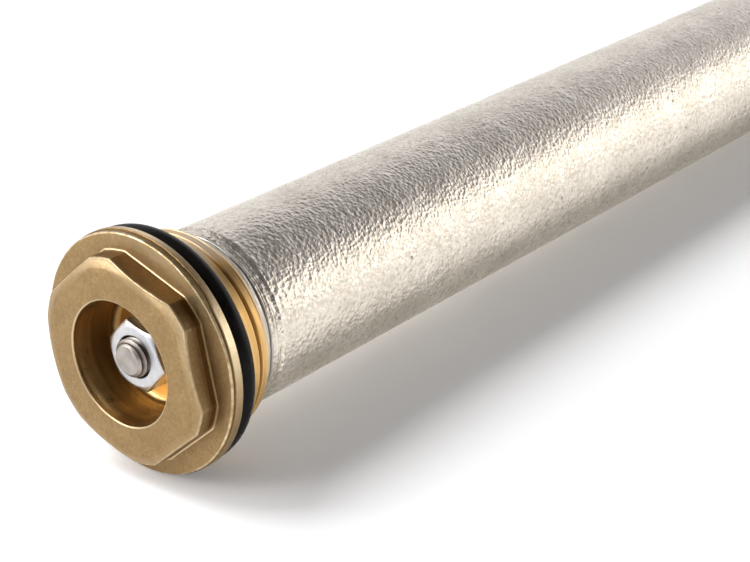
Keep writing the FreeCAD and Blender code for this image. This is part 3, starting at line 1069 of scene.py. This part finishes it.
@dataclass
class AnodeBar:
    """Cast magnesium bar with real crinkles, a turned band at the plug and a sawn end."""

    band_radius: float = 18.6 * MM
    band_length: float = 4.6 * MM
    sawn_bevel: float = 1.0 * MM
    bore_radius: float = 4.02 * MM
    columns: int = 256
    fine_reach: float = 120.0 * MM
    fine_rows: int = 212
    coarse_rows: int = 80
    crinkle_depth: float = 0.11 * MM

    def build(self) -> bpy.types.Object:
        """Build the bar from its bore over the plug end to the sawn end."""
        low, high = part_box("anode_rod")
        self.end_of_band = low.x + self.band_length
        radius = high.y
        skin = radius - 0.02 * MM
        surface = TurnedSurface(even_angles(self.columns))
        surface.coat = Coat.SECOND
        surface.ring(high.x, self.bore_radius)
        surface.run(low.x, self.bore_radius, 2)
        surface.run(low.x, self.band_radius - 0.3 * MM, 3)
        surface.ring(low.x + 0.08 * MM, self.band_radius - 0.08 * MM)
        self._add_band(surface, low.x)
        surface.coat = Coat.MAIN
        start = self.end_of_band
        for share in np.linspace(0.0, 1.0, self.fine_rows + 1)[1:]:
            surface.ring(start + self.fine_reach * (0.55 + 0.45 * share) * share, skin)
        end = high.x - self.sawn_bevel
        surface.run(end, skin, self.coarse_rows)
        surface.coat = Coat.THIRD
        surface.run(high.x, radius - self.sawn_bevel, 3)
        surface.run(high.x, self.bore_radius + 0.2 * MM, 8)
        piece = surface.build("anode_rod_magnesium", closed=True, shift=self._crinkles(surface))
        dress(piece, "anode_rod", "magnesium", CastMagnesium().make(), TURNED_MAGNESIUM.make(),
              SAWN_MAGNESIUM.make())
        return piece

    def _add_band(self, surface: TurnedSurface, low_x: float) -> None:
        """The band beside the plug: turned smooth below, with ragged scores over the cast skin above. The
        first score holds a painted contact shadow, the others painted shade.
        """
        angles = surface.angles
        # Each score: place, depth, width and painted shade; the first is a painted contact shadow beside
        # the plug.
        scores = ((1.75, 0.35, 0.22, 1.0), (2.45, 0.13, 0.10, 0.5), (3.0, 0.17, 0.13, 0.6),
                  (3.7, 0.15, 0.11, 0.5))
        above = np.clip(0.5 + 1.6 * np.cos(angles + 0.75), 0.0, 1.0)
        steps = 56
        for k in range(1, steps + 1):
            x = self.band_length * k / steps
            surface.coat = Coat.SECOND if x < 2.2 * MM else Coat.MAIN
            cut, groove_shade = surface.spread(0.0), surface.spread(0.0)
            for order, (place, depth, width, dark) in enumerate(scores):
                wander = 0.10 * np.sin(3.0 * angles + order) + 0.07 * np.sin(11.0 * angles + 2.0 * order)
                broken = 1.0 if order == 0 else above * (0.6 + 0.4 * np.sin(7.0 * angles + 1.7 * order))
                near = np.exp(-((x / MM + wander - place) / width) ** 2) * broken
                cut += depth * MM * near
                groove_shade += dark * near
            surface.ring(low_x + x, self.band_radius - cut, wear_and_shading=-np.clip(groove_shade, 0.0, 1.0))

    def _crinkles(self, surface: TurnedSurface) -> np.ndarray:
        """The cast skin's unevenness, as a move of each point towards the axis."""
        places = surface.points()
        cast = np.array([ring.coat is Coat.MAIN for ring in surface.rings])
        wave = (noise_field(places, 160.0, 1.3) * 0.20 + noise_field(places, 480.0, 5.9) * 0.30
                + noise_field(places, 1000.0, 9.2) * 0.50)
        turned = noise_field(places * np.array([1.0, 0.14, 0.14]), 1150.0, 2.2)
        beyond = places[..., 0] - self.end_of_band
        above = np.clip(0.45 + 1.2 * np.cos(surface.angles + 0.75), 0.0, 1.0)
        wave = wave + 1.2 * turned * np.clip(1.0 - beyond / (7.5 * MM), 0.0, 1.0) * above[None, :]
        depth = np.where(cast[:, None], self.crinkle_depth * (np.clip(wave, -1.0, 1.0) - 1.0), 0.0)
        outward = places * np.array([0.0, 1.0, 1.0])
        outward /= np.maximum(np.linalg.norm(outward, axis=-1, keepdims=True), 1e-9)
        return outward * depth[..., None]


@dataclass(frozen=True)
class SoftBox:
    """A rectangular lamp that faces the rod."""

    name: str
    place: Triple
    size: tuple[float, float]
    glow: float
    colour: Triple = (1.0, 1.0, 1.0)

    def lamp(self) -> bpy.types.Light:
        """Make the lamp's data."""
        data = bpy.data.lights.new(self.name, "AREA")
        data.shape = "RECTANGLE"
        data.size, data.size_y = self.size
        data.energy = self.glow * math.pi * data.size * data.size_y
        data.color = self.colour
        return data


@dataclass
class Studio:
    """Pale floor that the rod rests on, a light tent with a dark ceiling, soft boxes and the camera."""

    focal_pixels: float = 1767.0
    picture_width: float = 750.0
    sensor: float = 36.0
    look_down: float = 24.7475
    axis_right: float = 0.631
    camera_offset: Triple = (-198.0 * MM, -223.1 * MM, 153.0 * MM)
    side_box: SoftBox = SoftBox("side_box", (1.36, -0.98, 0.38), (1.45, 0.58), 1.12, (1.0, 0.935, 0.82))
    front_box: SoftBox = SoftBox("front_box", (-0.70, 0.50, 0.52), (0.7, 0.7), 5.4)
    high_glow: float = 0.64
    floor_glow: float = 0.12
    floor_half: float = 6.0
    high_place: Triple = (-0.15, 0.60, 1.0)
    tent_up: Triple = (0.0, -0.22, 0.975)
    dark_side: Triple = (-0.7, -0.7, 0.0)
    dark_range: tuple[float, float, float, float] = (0.1, 0.8, 1.0, 0.4)
    tent: tuple[tuple[float, float], ...] = ((0.0, 0.92), (0.35, 0.90), (0.50, 0.80), (0.60, 0.50),
                                             (0.69, 0.17), (1.0, 0.14))

    def build(self) -> None:
        """Set the view transform, then make the camera, the surroundings and the lamps."""
        scene = bpy.context.scene
        scene.view_settings.view_transform = "Standard"
        self._camera(scene)
        self._floor()
        self._surroundings(scene)
        for box in (self.side_box, self.front_box):
            self._hang(box.lamp(), Vector(box.place), True)
        self._high_light()

    def _camera(self, scene: bpy.types.Scene) -> None:
        """The photograph's camera, fitted to the round edges of the rod."""
        low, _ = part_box("plug")
        data = bpy.data.cameras.new("camera")
        data.sensor_width = self.sensor
        data.lens = self.focal_pixels / self.picture_width * self.sensor
        data.clip_start = 0.01
        camera = bpy.data.objects.new("camera", data)
        scene.collection.objects.link(camera)
        right = Vector((self.axis_right, -math.sqrt(1.0 - self.axis_right ** 2), 0.0))
        level = Vector((-right.y, right.x, 0.0))
        down = math.radians(self.look_down)
        forward = level * math.cos(down) - Vector((0.0, 0.0, math.sin(down)))
        up = right.cross(forward)
        turn = Matrix((right, up, -forward)).transposed().to_4x4()
        place = Vector((low.x, 0.0, 0.0)) + Vector(self.camera_offset)
        camera.matrix_world = Matrix.Translation(place) @ turn
        scene.camera = camera

    def _floor(self) -> None:
        """A pale floor that touches the flange and the sawn end."""
        flange_low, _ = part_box("plug")
        bar_low, bar_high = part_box("anode_rod")
        rise = (bar_low.z - flange_low.z) / (bar_high.x - 0.0)
        mesh = bpy.data.meshes.new("floor")
        half = self.floor_half
        corners = [(-half, -half, 0), (half, -half, 0), (half, half, 0), (-half, half, 0)]
        mesh.from_pydata(corners, [], [(0, 1, 2, 3)])
        floor = bpy.data.objects.new("floor", mesh)
        bpy.context.scene.collection.objects.link(floor)
        floor.rotation_euler = (0.0, -math.atan(rise), 0.0)
        floor.location = (0.0, 0.0, flange_low.z + 0.006 * rise)
        mat = NodeMaterial("pale_floor")
        mat.put(Base_Color=(0.86, 0.86, 0.86, 1.0), Roughness=0.9, Specular_IOR_Level=0.1)
        path = mat.nodes.new("ShaderNodeLightPath").outputs
        seen = mat.sum("MAXIMUM", path["Is Camera Ray"], path["Is Glossy Ray"])
        seen = mat.sum("MAXIMUM", seen, path["Is Transmission Ray"])
        white = {"Color": (1.0, 1.0, 1.0, 1.0), "Strength": mat.sum("MULTIPLY", seen, self.floor_glow)}
        glow = mat.add("ShaderNodeEmission", white)
        both = mat.add("ShaderNodeAddShader", {0: mat.shader.outputs[0], 1: glow.outputs[0]})
        mat.links.new(both.outputs[0], mat.nodes["Material Output"].inputs["Surface"])
        mesh.materials.append(mat.material)

    def _surroundings(self, scene: bpy.types.Scene) -> None:
        """A light tent: white at eye level, dark overhead and darker on the near side of the head."""
        world = bpy.data.worlds.new("light_tent")
        world.use_nodes = True
        tree = NodeTree(world.node_tree)
        way = tree.add("ShaderNodeTexCoord", {}).outputs["Generated"]
        ramp = tree.add("ShaderNodeValToRGB", {"Fac": tree.dot(way, self.tent_up)})
        for stop, (where, level) in zip(ramp.color_ramp.elements, (self.tent[0], self.tent[-1])):
            stop.position = where
            stop.color = (level, level, level, 1.0)
        for where, level in self.tent[1:-1]:
            stop = ramp.color_ramp.elements.new(where)
            stop.color = (level * 0.985, level * 0.975, level * 1.04, 1.0)
        background = tree.nodes["Background"]
        tree.links.new(ramp.outputs["Color"], background.inputs["Color"])
        shade = tree.fit(tree.dot(way, self.dark_side), *self.dark_range)
        tree.links.new(shade, background.inputs["Strength"])
        scene.world = world

    def _high_light(self) -> None:
        """A broad high light from behind the bar, for the floor and the rubber only."""
        data = bpy.data.lights.new("high_light", "SUN")
        data.energy = self.high_glow * math.pi
        data.angle = math.radians(28.0)
        self._hang(data, Vector(self.high_place), False)

    def _hang(self, data: bpy.types.Light, place: Vector, mirrored: bool) -> None:
        """Put a lamp where it faces the rod.

        Args:
            data: The lamp.
            place: Where it stands.
            mirrored: Whether polished metal shows it.
        """
        lamp = bpy.data.objects.new(data.name, data)
        bpy.context.scene.collection.objects.link(lamp)
        lamp.location = place
        lamp.rotation_euler = (self.aim() - place).to_track_quat("-Z", "Y").to_euler()
        lamp.visible_camera = False
        lamp.visible_glossy = mirrored

    @staticmethod
    def aim() -> Vector:
        """The middle of the part of the rod that the photograph shows."""
        return Vector((100.0 * MM, 0.0, 0.0))


def main() -> None:
    """Load the frame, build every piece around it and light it."""
    logging.basicConfig(level=logging.INFO, format="%(name)s %(message)s")
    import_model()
    for piece in (Plug(), SealingRing(), HexNut(), CoreStud(), AnodeBar()):
        piece.build()
    Studio().build()


if __name__ == "__main__":
    main()
